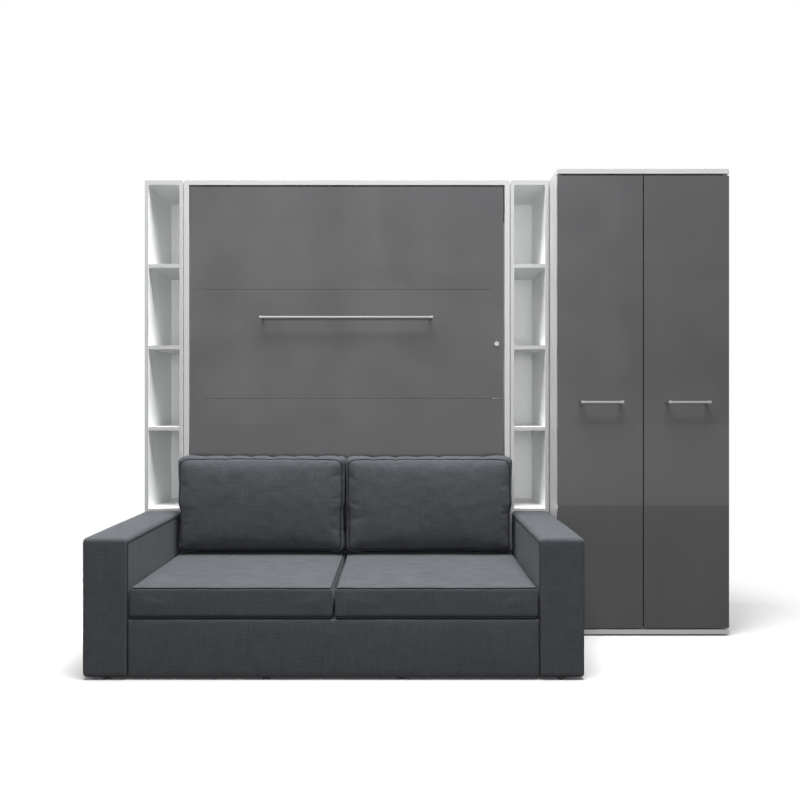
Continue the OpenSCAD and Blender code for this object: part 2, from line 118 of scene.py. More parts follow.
def make_world():
    """White to the eye, dim as fill light, and a bright uneven room in reflections, darker on the right."""
    world = bpy.data.worlds.new("studio")
    world.use_nodes = True
    world.cycles.sampling_method = "NONE"
    tree = world.node_tree
    output = tree.nodes["World Output"]
    paths = tree.nodes.new("ShaderNodeLightPath")
    place = tree.nodes.new("ShaderNodeTexCoord").outputs["Generated"]
    split = tree.nodes.new("ShaderNodeSeparateXYZ")
    tree.links.new(place, split.inputs[0])
    fade = tree.nodes.new("ShaderNodeMapRange")
    tree.links.new(split.outputs["X"], fade.inputs["Value"])
    for name, value in zip(RAMP_SOCKETS, ROOM_FADE):
        fade.inputs[name].default_value = value
    shapes = tree.nodes.new("ShaderNodeTexNoise")
    tree.links.new(place, shapes.inputs["Vector"])
    for name, value in ROOM_SHAPES.items():
        shapes.inputs[name].default_value = value
    uneven = tree.nodes.new("ShaderNodeMapRange")
    tree.links.new(shapes.outputs["Fac"], uneven.inputs["Value"])
    for name, value in zip(RAMP_SOCKETS, ROOM_PATCHES):
        uneven.inputs[name].default_value = value
    room = tree.nodes.new("ShaderNodeMath")
    room.operation = "MULTIPLY"
    tree.links.new(fade.outputs[0], room.inputs[0])
    tree.links.new(uneven.outputs[0], room.inputs[1])

    def glow(strength):
        node = tree.nodes.new("ShaderNodeBackground")
        if isinstance(strength, bpy.types.NodeSocket):
            tree.links.new(strength, node.inputs["Strength"])
        else:
            node.inputs["Strength"].default_value = strength
        node.inputs["Color"].default_value = (1, 1, 1, 1)
        return node.outputs[0]

    def choose(amount, a, b):
        node = tree.nodes.new("ShaderNodeMixShader")
        tree.links.new(amount, node.inputs[0])
        tree.links.new(a, node.inputs[1])
        tree.links.new(b, node.inputs[2])
        return node.outputs[0]

    unseen = choose(paths.outputs["Is Glossy Ray"], glow(FILL_LIGHT), glow(room.outputs[0]))
    seen = choose(paths.outputs["Is Camera Ray"], unseen, glow(1.0))
    tree.links.new(seen, output.inputs["Surface"])
    bpy.context.scene.world = world


def make_floor():
    size = FLOOR_SIZE
    corners = [(-size, -size, 0), (size, -size, 0), (size, size, 0), (-size, size, 0)]
    mesh = bpy.data.meshes.new("floor")
    mesh.from_pydata(corners, [], [(0, 1, 2, 3)])
    floor = bpy.data.objects.new("floor", mesh)
    bpy.context.scene.collection.objects.link(floor)
    floor.data.materials.append(floor_material())


# ---------------------------------------------------------------- material tools

class Nodes:
    """A short way to write a node tree."""

    def __init__(self, name):
        self.material = bpy.data.materials.new(name)
        self.material.use_nodes = True
        self.tree = self.material.node_tree
        self.shader = self.tree.nodes["Principled BSDF"]
        self.place = self.add("ShaderNodeTexCoord").outputs["Object"]

    def add(self, kind, **settings):
        node = self.tree.nodes.new(kind)
        for key, value in settings.items():
            setattr(node, key, value)
        return node

    def feed(self, target, value):
        if isinstance(value, bpy.types.NodeSocket):
            self.tree.links.new(value, target)
        else:
            target.default_value = value

    def scaled(self, scale, turn=(0, 0, 0)):
        node = self.add("ShaderNodeMapping")
        self.feed(node.inputs["Vector"], self.place)
        node.inputs["Scale"].default_value = scale
        node.inputs["Rotation"].default_value = turn
        return node.outputs["Vector"]

    def noise(self, scale, detail=3.0, rough=0.5, vector=None):
        node = self.add("ShaderNodeTexNoise")
        self.feed(node.inputs["Vector"], vector or self.place)
        node.inputs["Scale"].default_value = scale
        node.inputs["Detail"].default_value = detail
        node.inputs["Roughness"].default_value = rough
        return node.outputs["Fac"]

    def wave(self, scale, vector, direction="X", distortion=0.0):
        node = self.add("ShaderNodeTexWave", bands_direction=direction)
        self.feed(node.inputs["Vector"], vector)
        node.inputs["Scale"].default_value = scale
        node.inputs["Distortion"].default_value = distortion
        return node.outputs["Fac"]

    def math(self, kind, a, b=0.0, clamp=False):
        node = self.add("ShaderNodeMath", operation=kind, use_clamp=clamp)
        self.feed(node.inputs[0], a)
        self.feed(node.inputs[1], b)
        return node.outputs[0]

    def spread(self, value, low, high, to_low, to_high):
        node = self.add("ShaderNodeMapRange")
        for name, v in zip(("Value", *RAMP_SOCKETS), (value, low, high, to_low, to_high)):
            self.feed(node.inputs[name], v)
        return node.outputs[0]

    def blend(self, amount, a, b, kind="MIX"):
        node = self.add("ShaderNodeMix", data_type="RGBA", blend_type=kind)
        self.feed(node.inputs[0], amount)
        self.feed(node.inputs[6], a)
        self.feed(node.inputs[7], b)
        return node.outputs[2]

    def bump(self, height, distance, strength=1.0, under=None):
        node = self.add("ShaderNodeBump")
        self.feed(node.inputs["Height"], height)
        node.inputs["Distance"].default_value = distance
        node.inputs["Strength"].default_value = strength
        if under is not None:
            self.feed(node.inputs["Normal"], under)
        return node.outputs["Normal"]

    def set(self, **sockets):
        for name, value in sockets.items():
            self.feed(self.shader.inputs[name.replace("_", " ")], value)
        return self.material


def grey(value, tint=(1.0, 1.0, 1.0)):
    return (value * tint[0], value * tint[1], value * tint[2], 1.0)


# ---------------------------------------------------------------- materials

# Slight colour of each grey, and the fabric's thread waves at weave 1.
BOARD_TINT = (0.99, 1.0, 0.998)
LACQUER_TINT = (1.0, 1.0, 1.05)
FABRIC_TINT = (0.94, 1.0, 1.10)
THREADS = 260.0


def floor_material():
    """Pale floor that shows soft shadows and whitens away from the object.

    Reflections see a painted glow in place of the lit floor: dim up to its far edge and bright beyond,
    standing in for a floor in a room.
    """
    n = Nodes("floor_pale")
    patch = n.noise(0.7, 2.0)
    paths = n.add("ShaderNodeLightPath")
    seen = n.blend(patch, grey(FLOOR_PALE[0]), grey(FLOOR_PALE[1]))
    colour = n.blend(paths.outputs["Is Camera Ray"], grey(FLOOR_BOUNCE), seen)
    n.set(Base_Color=colour, Roughness=0.9, Specular_IOR_Level=0.1)
    split = n.add("ShaderNodeSeparateXYZ")
    n.feed(split.inputs[0], n.place)
    reach = n.add("ShaderNodeVectorMath", operation="LENGTH")
    n.feed(reach.inputs[0], n.place)
    far = n.spread(reach.outputs["Value"], FLOOR_FADE[0], FLOOR_FADE[1], 0.0, 1.0)
    white_out = n.add("ShaderNodeEmission")
    fade = n.add("ShaderNodeMixShader")
    n.feed(fade.inputs[0], n.math("MULTIPLY", far, paths.outputs["Is Camera Ray"]))
    n.feed(fade.inputs[1], n.shader.outputs[0])
    n.feed(fade.inputs[2], white_out.outputs[0])
    # Painted reflection: glossy rays see an emission glow, dim near and bright past the far edge, in place of
    # the floor's lit colour.
    near = n.math("GREATER_THAN", split.outputs["Y"], FLOOR_EDGE)
    level = n.spread(near, 0.0, 1.0, FLOOR_MIRRORED_FAR, FLOOR_MIRRORED_NEAR)
    glow = n.add("ShaderNodeEmission")
    n.feed(glow.inputs["Strength"], level)
    mix = n.add("ShaderNodeMixShader")
    n.feed(mix.inputs[0], paths.outputs["Is Glossy Ray"])
    n.feed(mix.inputs[1], fade.outputs[0])
    n.feed(mix.inputs[2], glow.outputs[0])
    n.feed(n.tree.nodes["Material Output"].inputs["Surface"], mix.outputs[0])
    return n.material


def laminate_material(name, face, edge):
    """Pale melamine board: fine pearl texture and faint mottling.

    Faces that look toward the front, such as board edges, have their own grey, which is painted light set by
    facing: white and bookcase boards get a darker front grey as painted shade, bookcase backs a paler one as
    painted light.
    """
    n = Nodes(name)
    mottle = n.noise(6.0, 4.0)
    facing = n.add("ShaderNodeSeparateXYZ")
    n.feed(facing.inputs[0], n.add("ShaderNodeTexCoord").outputs["Normal"])
    # Painted light by facing: faces turned toward the front take the edge grey instead of the face grey.
    front = n.math("LESS_THAN", facing.outputs["Y"], -0.9)
    low = n.blend(front, grey(face * 0.98, BOARD_TINT), grey(edge * 0.98, BOARD_TINT))
    high = n.blend(front, grey(face * 1.02, BOARD_TINT), grey(edge * 1.02, BOARD_TINT))
    colour = n.blend(mottle, low, high)
    pearl = n.noise(900.0, 2.0, 0.6)
    normal = n.bump(pearl, 0.00008, 0.6)
    rough = n.spread(mottle, 0.3, 0.7, 0.34, 0.44)
    return n.set(Base_Color=colour, Roughness=rough, Normal=normal)


def lacquer_material(name, value):
    """High-gloss grey lacquer on board: deep clear coat, a trace of orange peel, and faint blotches and
    streaks in its grey that are a painted reflection.
    """
    n = Nodes(name)
    # Painted reflection: noise blotches and streaks vary the lacquer grey by about 5 percent each way, in
    # place of reflections in the gloss.
    painted_reflection_blotch = n.noise(1.6, 4.0, 0.55)
    painted_reflection_streak = n.noise(1.0, 3.0, 0.5, n.scaled((5.0, 5.0, 0.8), (0.0, 0.5, 0.0)))
    shade = n.math("MULTIPLY", painted_reflection_blotch, painted_reflection_streak)
    mix = n.spread(shade, 0.12, 0.40, 0.0, 1.0)
    colour = n.blend(mix, grey(value * 0.95, LACQUER_TINT), grey(value * 1.06, LACQUER_TINT))
    peel = n.noise(120.0, 1.0)
    normal = n.bump(peel, 0.00003, 0.25)
    dust = n.spread(n.noise(40.0, 5.0), 0.35, 0.7, 0.16, 0.22)
    return n.set(Base_Color=colour, Roughness=dust, Specular_IOR_Level=0.25,
                 Coat_Weight=1.0, Coat_Roughness=0.03, Normal=normal)


def brushed_material(name, value, rough, along=(2.0, 300.0, 300.0)):
    """Satin metal with a fine grain along the bar."""
    n = Nodes(name)
    grain = n.noise(3.0, 4.0, 0.6, n.scaled(along))
    colour = n.blend(grain, grey(value * 0.92, (1.0, 1.0, 1.01)), grey(value * 1.05, (1.0, 1.0, 1.01)))
    normal = n.bump(grain, 0.00004, 0.5)
    finish = n.spread(grain, 0.3, 0.7, rough * 0.8, rough * 1.25)
    return n.set(Base_Color=colour, Metallic=1.0, Roughness=finish, Normal=normal)


def birch_material():
    """Bare birch ply: long grain with fine pores."""
    n = Nodes("birch_ply")
    long_grain = n.noise(4.0, 5.0, 0.6, n.scaled((1.2, 22.0, 22.0)))
    pores = n.noise(10.0, 3.0, 0.7, n.scaled((6.0, 160.0, 160.0)))
    colour = n.blend(long_grain, (0.50, 0.36, 0.20, 1), (0.68, 0.54, 0.35, 1))
    colour = n.blend(n.spread(pores, 0.55, 0.75, 0.0, 0.35), colour, (0.40, 0.27, 0.14, 1))
    return n.set(Base_Color=colour, Roughness=0.55, Normal=n.bump(pores, 0.0001, 0.5))


def fabric_material(name, value, tint, weave=1.0):
    """Short-napped woven upholstery: thread grid, melange flecks, soft worn patches and a sheen."""
    n = Nodes(name)
    threads = THREADS * weave
    across = n.wave(threads, n.place, "X", 0.6)
    down = n.wave(threads, n.place, "Z", 0.6)
    depth = n.wave(threads, n.place, "Y", 0.6)
    grid = n.math("MULTIPLY", n.math("ADD", across, down), n.math("ADD", depth, 0.4))
    fleck = n.noise(650.0, 3.0, 0.75)
    warp = n.noise(1.0, 3.0, 0.6, n.scaled((300.0, 300.0, 14.0)))
    weft = n.noise(1.0, 3.0, 0.6, n.scaled((14.0, 40.0, 300.0)))
    slub = n.math("MULTIPLY", n.math("ADD", warp, weft), 0.5)
    patch = n.noise(5.0, 3.0, 0.6)
    dark = grey(value * 0.72, tint)
    light = grey(value * 1.34, tint)
    colour = n.blend(n.spread(fleck, 0.32, 0.68, 0.0, 1.0), dark, light)
    colour = n.blend(n.spread(slub, 0.50, 0.66, 0.0, 0.60), colour, grey(value * 1.45, tint))
    colour = n.blend(n.spread(slub, 0.50, 0.36, 0.0, 0.50), colour, grey(value * 0.65, tint))
    colour = n.blend(n.spread(patch, 0.35, 0.7, 0.0, 0.30), colour, grey(value * 0.82, tint))
    fine = n.bump(grid, 0.00025, 0.45)
    normal = n.bump(fleck, 0.0005, 0.6, fine)
    normal = n.bump(slub, 0.0008, 0.25, normal)
    n.set(Base_Color=colour, Roughness=0.95, Normal=normal, Specular_IOR_Level=0.2)
    return n.set(Sheen_Weight=0.06, Sheen_Roughness=0.4, Sheen_Tint=grey(0.8, (0.95, 1.0, 1.05)))


def ticking_material():
    """Off-white knitted mattress cover."""
    n = Nodes("mattress_ticking")
    knit = n.noise(700.0, 2.0, 0.6)
    patch = n.noise(8.0, 3.0)
    colour = n.blend(patch, (0.215, 0.212, 0.200, 1), (0.250, 0.248, 0.238, 1))
    return n.set(Base_Color=colour, Roughness=0.9, Normal=n.bump(knit, 0.0005, 0.6), Sheen_Weight=0.15)


def webbing_material():
    n = Nodes("strap_webbing")
    ribs = n.wave(220.0, n.place, "X", 0.3)
    colour = n.blend(ribs, grey(0.012), grey(0.035))
    return n.set(Base_Color=colour, Roughness=0.8, Normal=n.bump(ribs, 0.0004, 0.7))


def plastic_material(name, value, rough):
    """Moulded plastic or paint with a fine spark texture."""
    n = Nodes(name)
    spark = n.noise(500.0, 2.0, 0.6)
    colour = n.blend(n.noise(15.0, 3.0), grey(value * 0.85), grey(value * 1.2))
    finish = n.spread(spark, 0.3, 0.7, rough * 0.9, rough * 1.1)
    return n.set(Base_Color=colour, Roughness=finish, Normal=n.bump(spark, 0.0001, 0.5))


# Painted shade: the white boards' front-facing faces get a darker grey (0.345) than their other faces (0.44).
white = laminate_material("white_laminate_painted_front_shade", 0.44, 0.345)
# Painted light: bookcase boards' inner faces and the bookcase backs' front faces are painted 0.80, far paler
# than other boards, standing in for light in the compartments.
bookcase_painted_light = laminate_material("bookcase_laminate_painted_light", 0.80, 0.325)
bookcase_back = laminate_material("bookcase_back", 0.44, 0.80)
gloss = lacquer_material("grey_lacquer", 0.053)
chrome = brushed_material("satin_chrome", 0.74, 0.22)
steel = brushed_material("zinc_steel", 0.50, 0.36, (60.0, 60.0, 60.0))
birch = birch_material()
fabric = fabric_material("slate_fabric", 0.0445, FABRIC_TINT)
# A five times darker copy of the fabric for the welts: painted shade along the seams.
painted_seam_shade_fabric = fabric_material("painted_seam_shade_fabric", 0.009, FABRIC_TINT, 1.5)
ticking = ticking_material()
webbing = webbing_material()
rubber = plastic_material("dark_plastic", 0.02, 0.6)
strut_paint = plastic_material("strut_paint", 0.015, 0.30)

FINISH = {
    "white_board": white, "gloss_front": gloss, "chrome": chrome, "steel": steel, "birch": birch,
    "dark_plastic": rubber, "strut_black": strut_paint,
}
EDGE = {"white_board": 0.8, "gloss_front": 1.0, "birch": 1.2, "steel": 0.5}


def board_finish(name, slot):
    """Bookcase backs are the palest boards, and bookcase boards are paler than the rest: painted light
    standing in for light in the compartments.
    """
    if "bookcase_back" in name:
        return bookcase_back
    return bookcase_painted_light if "bookcase" in name else FINISH[slot]


def dress_cad_nodes():
    """Gives every hard node its finish, and its boards a softened edge."""
    slots = {s["node"]: s["material_slot"] for s in frame["record"]["subparts"]}
    for name, obj in nodes.items():
        slot = slots[name]
        if slot not in FINISH:
            continue
        obj.data.materials.clear()
        obj.data.materials.append(board_finish(name, slot))
        if slot in EDGE:
            bevel = obj.modifiers.new("edge", "BEVEL")
            bevel.width = EDGE[slot] * MM
            bevel.segments = 2
            bevel.limit_method = "ANGLE"
            bevel.harden_normals = True


# ---------------------------------------------------------------- mesh tools

COVER_CLOTH = {
    "quality": 5, "mass": 0.3, "tension_stiffness": 15, "compression_stiffness": 15,
    "shear_stiffness": 5, "bending_stiffness": 0.5,
}
CLOTH_FRAMES = 20


def steps(low, high, radius, cell):
    """Places along one side of a block: close together in the rounded ends, then evenly spaced."""
    fine = 5
    ends = [radius * (1 - math.cos(math.pi / 2 * i / fine)) for i in range(fine + 1)]
    count = max(1, round((high - low - 2 * radius) / cell))
    middle = [low + radius + (high - low - 2 * radius) * i / count for i in range(1, count)]
    return [low + e for e in ends] + middle + [high - e for e in reversed(ends)]


def block_mesh(low, high, radius, cell):
    """A closed box of quads with round edges and corners."""
    axes = [steps(low[i], high[i], radius, cell) for i in range(3)]
    inner_low = [v + radius for v in low]
    inner_high = [v - radius for v in high]
    index, points, faces = {}, [], []

    def point(key):
        if key not in index:
            flat = Vector(axes[i][key[i]] for i in range(3))
            core = Vector(min(max(flat[i], inner_low[i]), inner_high[i]) for i in range(3))
            out = flat - core
            index[key] = len(points)
            points.append(core + out.normalized() * radius if out.length > 0 else flat)
        return index[key]

    for fixed in range(3):
        u, v = (fixed + 1) % 3, (fixed + 2) % 3
        for end in (0, len(axes[fixed]) - 1):
            for i in range(len(axes[u]) - 1):
                for j in range(len(axes[v]) - 1):
                    ring = []
                    for di, dj in ((0, 0), (1, 0), (1, 1), (0, 1)):
                        key = [0, 0, 0]
                        key[fixed], key[u], key[v] = end, i + di, j + dj
                        ring.append(point(tuple(key)))
                    faces.append(ring if end else ring[::-1])
    mesh = bpy.data.meshes.new("block")
    mesh.from_pydata(points, [], faces)
    mesh.update()
    return mesh


def make_object(name, mesh, materials):
    obj = bpy.data.objects.new(name, mesh)
    bpy.context.scene.collection.objects.link(obj)
    for material in materials:
        mesh.materials.append(material)
    mesh.shade_smooth()
    return obj


def move_points(obj, rule):
    """Moves each vertex to where rule(place, normal) says."""
    mesh = obj.data
    normals = [v.normal.copy() for v in mesh.vertices]
    for vertex, normal in zip(mesh.vertices, normals):
        vertex.co = rule(vertex.co, normal)
    mesh.update()


def bulge(t):
    """1 in the middle of a side and 0 at its ends; t runs from -1 to 1."""
    return max(0.0, 1.0 - t * t)


def apply_modifiers(obj):
    graph = bpy.context.evaluated_depsgraph_get()
    mesh = bpy.data.meshes.new_from_object(obj.evaluated_get(graph))
    old = obj.data
    obj.modifiers.clear()
    obj.data = mesh
    bpy.data.meshes.remove(old)
    obj.data.shade_smooth()


def simulate_pad(obj, voxel, cap, pressure):
    """Blows the cover up by cloth simulation, with gravity off.

    The simulated points stay within cap of where they started. The smoothing comes after that.
    """
    remesh = obj.modifiers.new("remesh", "REMESH")
    remesh.mode = "VOXEL"
    remesh.voxel_size = voxel
    apply_modifiers(obj)
    start = [v.co.copy() for v in obj.data.vertices]
    cloth = obj.modifiers.new("cloth", "CLOTH")
    for name, value in COVER_CLOTH.items():
        setattr(cloth.settings, name, value)
    cloth.settings.use_pressure = True
    cloth.settings.uniform_pressure_force = pressure
    cloth.settings.effector_weights.gravity = 0.0
    cloth.collision_settings.use_self_collision = False
    scene = bpy.context.scene
    for number in range(1, CLOTH_FRAMES + 1):
        scene.frame_set(number)
    apply_modifiers(obj)
    scene.frame_set(1)
    for vertex, place in zip(obj.data.vertices, start):
        step = vertex.co - place
        if step.length > cap:
            vertex.co = place + step.normalized() * cap
    even = obj.modifiers.new("even", "SMOOTH")
    even.factor, even.iterations = 0.5, 4
    subdivide = obj.modifiers.new("fine", "SUBSURF")
    subdivide.levels = subdivide.render_levels = 1
    apply_modifiers(obj)


def loop_path(low, high, corner, axis, place, spacing=0.006):
    """A closed rounded rectangle across axis at place; low and high are its corners on the two other axes."""
    centres = [
        (high[0] - corner, high[1] - corner, 0), (low[0] + corner, high[1] - corner, 90),
        (low[0] + corner, low[1] + corner, 180), (high[0] - corner, low[1] + corner, 270),
    ]
    turns = 8
    flat = []
    for cu, cv, start in centres:
        for k in range(turns + 1):
            angle = math.radians(start + 90 * k / turns)
            flat.append(Vector((cu + corner * math.cos(angle), cv + corner * math.sin(angle))))
    path = []
    for a, b in zip(flat, flat[1:] + flat[:1]):
        count = max(1, round((b - a).length / spacing))
        for k in range(count):
            p = a.lerp(b, k / count)
            full = [p.x, p.y]
            full.insert(axis, place)
            path.append(Vector(full))
    return path


def snap_path(obj, path, smooth=3):
    """Lays a path on the nearest points of a surface and evens it out."""
    tree = BVHTree.FromObject(obj, bpy.context.evaluated_depsgraph_get())
    laid = [tree.find_nearest(p)[0] for p in path]
    for _ in range(smooth):
        laid = [(laid[i - 1] + laid[i] * 2 + laid[(i + 1) % len(laid)]) / 4 for i in range(len(laid))]
    return laid


def tube_faces(path, radius, sides=8):
    """Points and faces of a closed ring of tube along a path."""
    points, faces = [], []
    count = len(path)
    for i, p in enumerate(path):
        along = (path[(i + 1) % count] - path[i - 1]).normalized()
        side = along.cross(Vector((0.31, 0.52, 0.80))).normalized()
        up = along.cross(side)
        for k in range(sides):
            angle = 2 * math.pi * k / sides
            points.append(p + (side * math.cos(angle) + up * math.sin(angle)) * radius)
    for i in range(count):
        for k in range(sides):
            a, b = i * sides, (i + 1) % count * sides
            faces.append((a + k, a + (k + 1) % sides, b + (k + 1) % sides, b + k))
    return points, faces


def seam_dent(obj, path, reach, depth, pucker, pitch, seed):
    """Sinks the cover along a seam, with short folds that fade away from it."""
    tree = KDTree(len(path))
    for i, p in enumerate(path):
        tree.insert(p, i)
    tree.balance()

    def rule(place, normal):
        _, number, gap = tree.find(place)
        if gap > reach * 4:
            return place
        spot = path[number] / pitch + Vector((seed * 7.3, seed * 3.1, seed * 1.7))
        fold = noise.noise(spot) * pucker * math.exp(-gap / reach) * min(1.0, gap / (reach * 0.25))
        sink = depth * math.exp(-((gap / (reach * 0.28)) ** 2))
        return place + normal * (fold - sink)

    move_points(obj, rule)


def add_welt(obj, paths, radius):
    """Joins thin round seams into a piece, as its second material."""
    mesh = obj.data
    points = [v.co.copy() for v in mesh.vertices]
    faces = [tuple(p.vertices) for p in mesh.polygons]
    slots = [0] * len(faces)
    for path in paths:
        base = len(points)
        more, rings = tube_faces(path, radius)
        points += more
        faces += [tuple(base + k for k in ring) for ring in rings]
        slots += [1] * len(rings)
    joined = bpy.data.meshes.new(obj.name)
    joined.from_pydata(points, [], faces)
    for material in mesh.materials:
        joined.materials.append(material)
    joined.polygons.foreach_set("material_index", slots)
    joined.update()
    joined.shade_smooth()
    obj.data = joined
    bpy.data.meshes.remove(mesh)


def soften(obj, amount, scale, seed):
    """Slow unevenness of stuffed fabric."""
    shift = Vector((seed * 11.0, seed * 5.0, seed * 3.0))
    move_points(obj, lambda place, normal: place + normal * amount * noise.noise(place * scale + shift))


def inset_box(node, inset):
    low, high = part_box(node)
    return [low[i] + inset[i] for i in range(3)], [high[i] - inset[i] for i in range(3)]


def fit_box(obj, low, high):
    """Scales a cover so that it fills its box."""
    points = [v.co for v in obj.data.vertices]
    least = [min(p[i] for p in points) for i in range(3)]
    most = [max(p[i] for p in points) for i in range(3)]

    def rule(place, normal):
        share = [(place[i] - least[i]) / (most[i] - least[i]) for i in range(3)]
        return Vector(low[i] + share[i] * (high[i] - low[i]) for i in range(3))

    move_points(obj, rule)


def middle(low, high):
    """The middle of a box and half its size."""
    return [(low[i] + high[i]) / 2 for i in range(3)], [(high[i] - low[i]) / 2 for i in range(3)]


def place_soft(obj, body, node):
    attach(obj, body)
    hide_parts(node)


# ---------------------------------------------------------------- sofa

def crisp(gap, reach, least):
    """Pulls a point toward the plane it is near, so that a rounded edge gets tighter."""
    return gap if gap > reach else gap * (least + (1 - least) * gap / reach)


def seat_cushion(node, seed):
    """A box cushion: crowned top, sides drawn in between the corners, welts round its top and bottom."""
    low, high = inset_box(node, (0.003, 0.003, 0.003))
    mesh = block_mesh(low, high, radius=0.013, cell=0.016)
    obj = make_object(node.replace("cushion", "pad"), mesh, [fabric, painted_seam_shade_fabric])
    mid, half = middle(low, high)
    crown_rise, most_draw = 0.006, 0.0015

    def crown(place, normal):
        u, v = (place.x - mid[0]) / half[0], (place.y - mid[1]) / half[1]
        w = (place.z - mid[2]) / half[2]
        lift = crown_rise * (bulge(u) * bulge(v)) ** 0.6 * max(0.0, w)
        draw = most_draw * (1 - bulge(w))
        return place + Vector((-draw * u * abs(u) * bulge(v), -draw * v * abs(v) * bulge(u), lift))

    move_points(obj, crown)
    simulate_pad(obj, voxel=0.0070, cap=0.004, pressure=3.0)
    soften(obj, 0.0022, 6.0, seed)
    fit_box(obj, *inset_box(node, (0.0005, 0.0, 0.0)))
    floor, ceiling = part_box(node)
    edge_reach, side_reach = 0.04, 0.03

    def tighten(place, normal):
        y = floor.y + crisp(place.y - floor.y, edge_reach, 0.25)
        z = floor.z + crisp(place.z - floor.z, edge_reach, 0.25)
        x = floor.x + crisp(place.x - floor.x, side_reach, 0.5)
        x = ceiling.x - crisp(ceiling.x - x, side_reach, 0.5)
        if place.z >= mid[2]:
            z = ceiling.z - crisp(ceiling.z - place.z, side_reach, 0.6)
        return Vector((x, y, z))

    move_points(obj, tighten)
    seam_inset, fold_pitch = 0.007, 0.022
    paths = []
    for z, pucker in ((high[2] - seam_inset, 0.0016), (low[2] + seam_inset, 0.0007)):
        path = snap_path(obj, loop_path(low[:2], high[:2], 0.016, 2, z))
        seam_dent(obj, path, 0.016, 0.0016, pucker, fold_pitch, seed)
        paths.append(snap_path(obj, path, 2))
    add_welt(obj, paths, 0.0024)
    place_soft(obj, "cabinet", node)


def back_cushion(node, seed):
    """A leaning box cushion: full face with a welt, scalloped crest, sides that spread over the arms."""
    low, high = inset_box(node, (0.004, 0.004, 0.003))
    mesh = block_mesh(low, high, radius=0.030, cell=0.014)
    obj = make_object(node.replace("cushion", "pad"), mesh, [fabric, painted_seam_shade_fabric])
    mid, half = middle(low, high)
    lean = 0.024
    fullness, set_back = 0.038, 0.034
    draw, crest_lift = 0.006, 0.004

    def shape(place, normal):
        u, w = (place.x - mid[0]) / half[0], (place.z - mid[2]) / half[2]
        v = (place.y - mid[1]) / half[1]
        front = max(0.0, -v)
        face = fullness * bulge(u) ** 0.35 * bulge(w * 0.94 - 0.06) ** 0.6 * front
        taper = lean * (w + 1) / 2 * (1 - v) / 2
        lift = crest_lift * bulge(u) * max(0.0, w) ** 3
        x_in = -draw * u * abs(u) * bulge(w)
        z_in = -draw * w * abs(w) * bulge(u) * (0.3 if w > 0 else 1.0)
        return place + Vector((x_in, taper + set_back - face, z_in + lift))

    move_points(obj, shape)
    simulate_pad(obj, voxel=0.0070, cap=0.010, pressure=5.0)
    soften(obj, 0.0040, 5.0, seed)
    soften(obj, 0.0014, 22.0, seed + 0.4)
    bottom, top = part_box(node)
    stuffing_rise = 0.008
    fit_box(obj, bottom, top + Vector((0, 0, stuffing_rise)))
    ripple, ripple_depth = 0.105, 0.011

    def scallop(place, normal):
        w = (place.z - mid[2]) / half[2]
        folds = 0.5 + 0.5 * noise.noise(Vector((place.x * 9.0, seed * 2.3, 0.0)))
        wave = abs(math.sin(math.pi * place.x / ripple + seed)) ** 0.6
        return place - Vector((0, 0, ripple_depth * folds * (1 - wave) * max(0.0, w - 0.55) ** 2 / 0.2))

    move_points(obj, scallop)
    arm_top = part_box("sofa_arm_left")[1].z
    spread, clearance, blend_height = 0.010, 0.006, 0.05

    def spill(place, normal):
        over = min(1.0, max(0.0, (place.z - arm_top - clearance) / blend_height))
        u = (place.x - mid[0]) / half[0]
        return place + Vector((spread * u ** 3 * over * (3 - 2 * over) * over, 0, 0))

    move_points(obj, spill)
    front_seam = (low[1] + 0.022, 0.009, lean, 0.026)
    rear_seam = (high[1] - 0.020, 0.0, 0.0, 0.020)
    paths = []
    for y, inset, slope, reach in (front_seam, rear_seam):
        path = loop_path((low[0] + inset, low[2] + inset), (high[0] - inset, high[2] - inset), 0.034, 1, y)
        path = [p + Vector((0, slope * (p.z - low[2]) / (high[2] - low[2]), 0)) for p in path]
        path = snap_path(obj, path)
        seam_dent(obj, path, reach, 0.0026, 0.0007, 0.016, seed)
        paths.append(snap_path(obj, path, 2))
    add_welt(obj, paths, 0.0027)
    place_soft(obj, "cabinet", node)
    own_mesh(obj)


def sofa_arm(node, seed):
    """A boxy padded arm: crowned top, flat sides, and a welt round each side panel."""
    low, high = inset_box(node, (0.0005, 0.0005, 0.0))
    mesh = block_mesh(low, high, radius=0.014, cell=0.014)
    obj = make_object(node + "_cover", mesh, [fabric, painted_seam_shade_fabric])
    mid, half = middle(low, high)
    crown_rise, top_band = 0.0050, 0.012

    def crown(place, normal):
        u, v = (place.x - mid[0]) / half[0], (place.y - mid[1]) / half[1]
        up = max(0.0, (place.z - high[2] + top_band) / top_band)
        return place + Vector((0, 0, crown_rise * bulge(u) ** 0.7 * bulge(v) ** 0.25 * up))

    move_points(obj, crown)
    soften(obj, 0.0010, 5.0, seed)
    soften(obj, 0.0004, 30.0, seed + 0.2)
    panel_low = (low[1] + 0.007, low[2] + 0.010)
    panel_high = (high[1] - 0.010, high[2] - 0.016)
    paths = []
    for x in (low[0], high[0]):
        path = snap_path(obj, loop_path(panel_low, panel_high, 0.010, 0, x))
        seam_dent(obj, path, 0.010, 0.0014, 0.0006, 0.018, seed)
        paths.append(snap_path(obj, path, 1))
    add_welt(obj, paths, 0.0017)
    place_soft(obj, "cabinet", node)


def upholstered_board(node, seed, puff):
    """A board wrapped in thin foam and fabric."""
    low, high = inset_box(node, (0.001, 0.001, 0.001))
    mesh = block_mesh(low, high, radius=0.006, cell=0.016)
    obj = make_object(node + "_cover", mesh, [fabric, painted_seam_shade_fabric])
    mid, half = middle(low, high)

    def swell(place, normal):
        u, w = (place.x - mid[0]) / half[0], (place.z - mid[2]) / half[2]
        front = max(0.0, -(place.y - mid[1]) / half[1])
        return place - Vector((0, puff * bulge(w) ** 0.5 * bulge(u) ** 0.2 * front, 0))

    move_points(obj, swell)
    soften(obj, 0.0012, 4.0, seed)
    place_soft(obj, "cabinet", node)


# ---------------------------------------------------------------- mattress

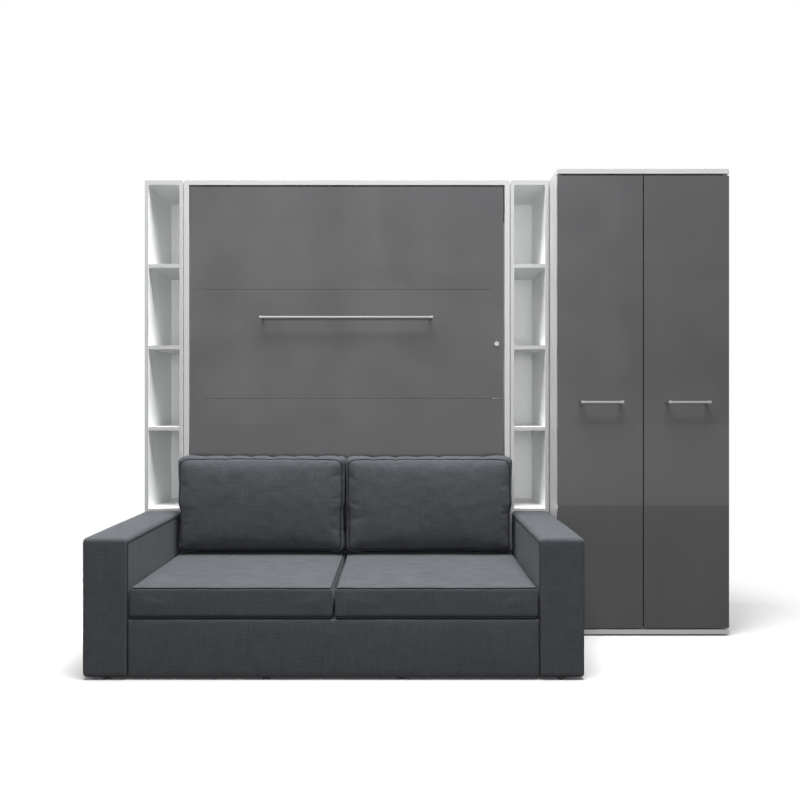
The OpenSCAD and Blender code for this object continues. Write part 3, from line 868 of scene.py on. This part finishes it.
def make_mattress():
    """Quilted ticking on both faces, bordered by two tape edges."""
    low, high = inset_box("mattress", (0.002, 0.001, 0.002))
    corner = 0.030
    obj = make_object("mattress_body", block_mesh(low, high, corner, cell=0.012), [ticking, ticking])
    mid, half = middle(low, high)
    pitch, stitch_width, stitch_depth = 0.17, 0.07, 0.006

    def quilt(place, normal):
        across = (place.x + place.z) / pitch
        other = (place.x - place.z) / pitch
        line = min(abs(across - round(across)), abs(other - round(other)))
        dip = stitch_depth * math.exp(-((line / stitch_width) ** 2))
        side = (place.y - mid[1]) / half[1]
        return place - Vector((0, dip * side ** 3, 0))

    move_points(obj, quilt)
    tape_inset, tape_radius = 0.012, 0.0035
    paths = []
    for y in (low[1] + tape_inset, high[1] - tape_inset):
        path = loop_path((low[0], low[2]), (high[0], high[2]), corner, 1, y, 0.012)
        paths.append(snap_path(obj, path, 1))
    add_welt(obj, paths, tape_radius)
    place_soft(obj, "bed", "mattress")


def make_straps():
    """Two webbing straps across the mattress, faintly wavy on their outer face."""
    low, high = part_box("mattress_straps")
    points, faces = [], []
    width, count = 0.040, 140
    ripple, ripple_turn = 0.0004, 0.9
    back_y, face_y = low.y + 0.0001, high.y - 0.0003
    for z in (low.z, high.z - width):
        base = len(points)
        for i in range(count + 1):
            x = low.x + (high.x - low.x) * i / count
            for y in (back_y, face_y + ripple * math.sin(i * ripple_turn)):
                points += [Vector((x, y, z)), Vector((x, y, z + width))]
        for i in range(count):
            a, b = base + 4 * i, base + 4 * (i + 1)
            faces += [(a, b, b + 1, a + 1), (a + 2, a + 3, b + 3, b + 2)]
            faces += [(a, a + 2, b + 2, b), (a + 1, b + 1, b + 3, a + 3)]
        last = base + 4 * count
        faces += [(base, base + 1, base + 3, base + 2), (last, last + 2, last + 3, last + 1)]
    mesh = bpy.data.meshes.new("straps")
    mesh.from_pydata(points, [], faces)
    mesh.update()
    straps = make_object("strap_bands", mesh, [webbing])
    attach(straps, "bed")
    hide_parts("mattress_straps")


# ---------------------------------------------------------------- build

def build():
    bpy.context.scene.view_settings.view_transform = "Standard"
    make_camera()
    make_world()
    for light in LIGHTS:
        area_light(*light)
    make_floor()
    dress_cad_nodes()
    for node, seed in (("sofa_arm_left", 1.0), ("sofa_arm_right", 2.0)):
        sofa_arm(node, seed)
    upholstered_board("sofa_front_apron", 3.0, 0.003)
    upholstered_board("sofa_back_board", 4.0, 0.0)
    upholstered_board("sofa_deck", 9.0, 0.0)
    for node, seed in (("seat_cushion_left", 5.0), ("seat_cushion_right", 6.0)):
        seat_cushion(node, seed)
    for node, seed in (("back_cushion_left", 7.0), ("back_cushion_right", 8.0)):
        back_cushion(node, seed)
    make_mattress()
    make_straps()


build()
